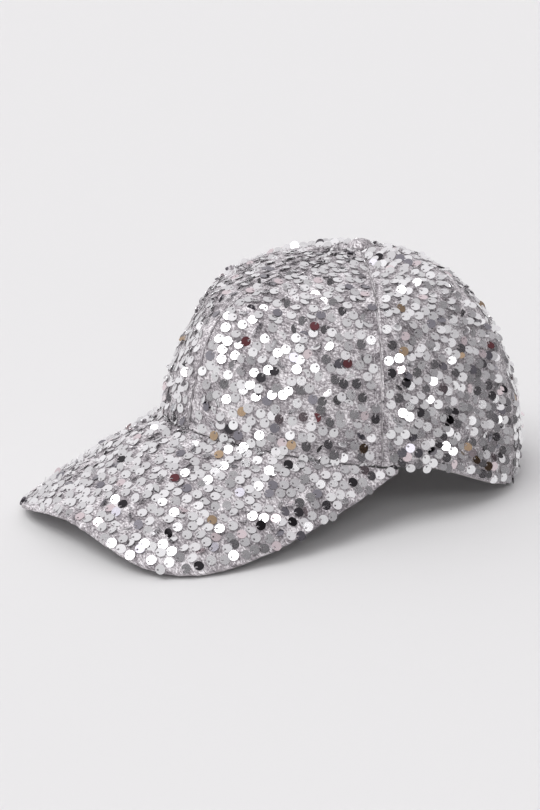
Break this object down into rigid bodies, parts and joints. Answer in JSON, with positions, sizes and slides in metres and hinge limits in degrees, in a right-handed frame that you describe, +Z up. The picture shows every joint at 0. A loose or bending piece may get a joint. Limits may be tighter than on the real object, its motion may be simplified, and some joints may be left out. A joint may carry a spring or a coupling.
{
  "type": "sequinned party cap",
  "caption": "Baseball-style party cap in silver sequinned velvet: panelled crown, curved stiff visor, covered button, inner sweatband and a rear strap closed by a flip-lever buckle.",
  "frame": {"origin": "on the plane the cap stands on, at the middle of its bounding box's base", "axes": "the visor points along -Y, the wearer's left is +X, +Z is up; the cap stands on its visor's side edges and its back edge"},
  "size_m": [0.158, 0.2788, 0.1206],
  "materials": {
    "sequin_velvet": "silver sequins on crushed velvet",
    "buckram": "stiffened open weave",
    "seam_tape": "woven tape",
    "sweatband_twill": "cotton twill",
    "visor_board": "extruded sheet",
    "lining_satin": "woven lining",
    "button_metal": "pressed sheet",
    "buckle_chrome": "plated",
    "strap_velvet": "velvet strap",
    "label_satin": "woven satin"
  },
  "bodies": {
    "cap": {"buckle_frame": "buckle_chrome", "buckle_pin": "buckle_chrome", "buckle_tab": "strap_velvet", "button_cover": "sequin_velvet", "button_shell": "button_metal", "button_washer": "button_metal", "care_label": "label_satin", "crown_panel_back_left": "sequin_velvet", "crown_panel_back_right": "sequin_velvet", "crown_panel_front_left": "sequin_velvet", "crown_panel_front_right": "sequin_velvet", "crown_panel_side_left": "sequin_velvet", "crown_panel_side_right": "sequin_velvet", "front_buckram_left": "buckram", "front_buckram_right": "buckram", "opening_facing": "seam_tape", "seam_tape_back": "seam_tape", "seam_tape_back_left": "seam_tape", "seam_tape_back_right": "seam_tape", "seam_tape_front": "seam_tape", "seam_tape_front_left": "seam_tape", "seam_tape_front_right": "seam_tape", "strap": "strap_velvet", "sweatband": "sweatband_twill", "visor_board": "visor_board", "visor_seam_allowance": "sequin_velvet", "visor_top_cover": "sequin_velvet", "visor_under_cover": "lining_satin"},
    "buckle_lever": {"buckle_lever": "buckle_chrome"}
  },
  "joints": [
    {"name": "buckle_lever_hinge", "type": "hinge", "parent": "cap", "child": "buckle_lever", "pos_m": [0.0271, 0.13133, 0.01286], "axis": [-0.0356, -0.0796, -0.9962], "range_deg": [0, 100]}
  ]
}
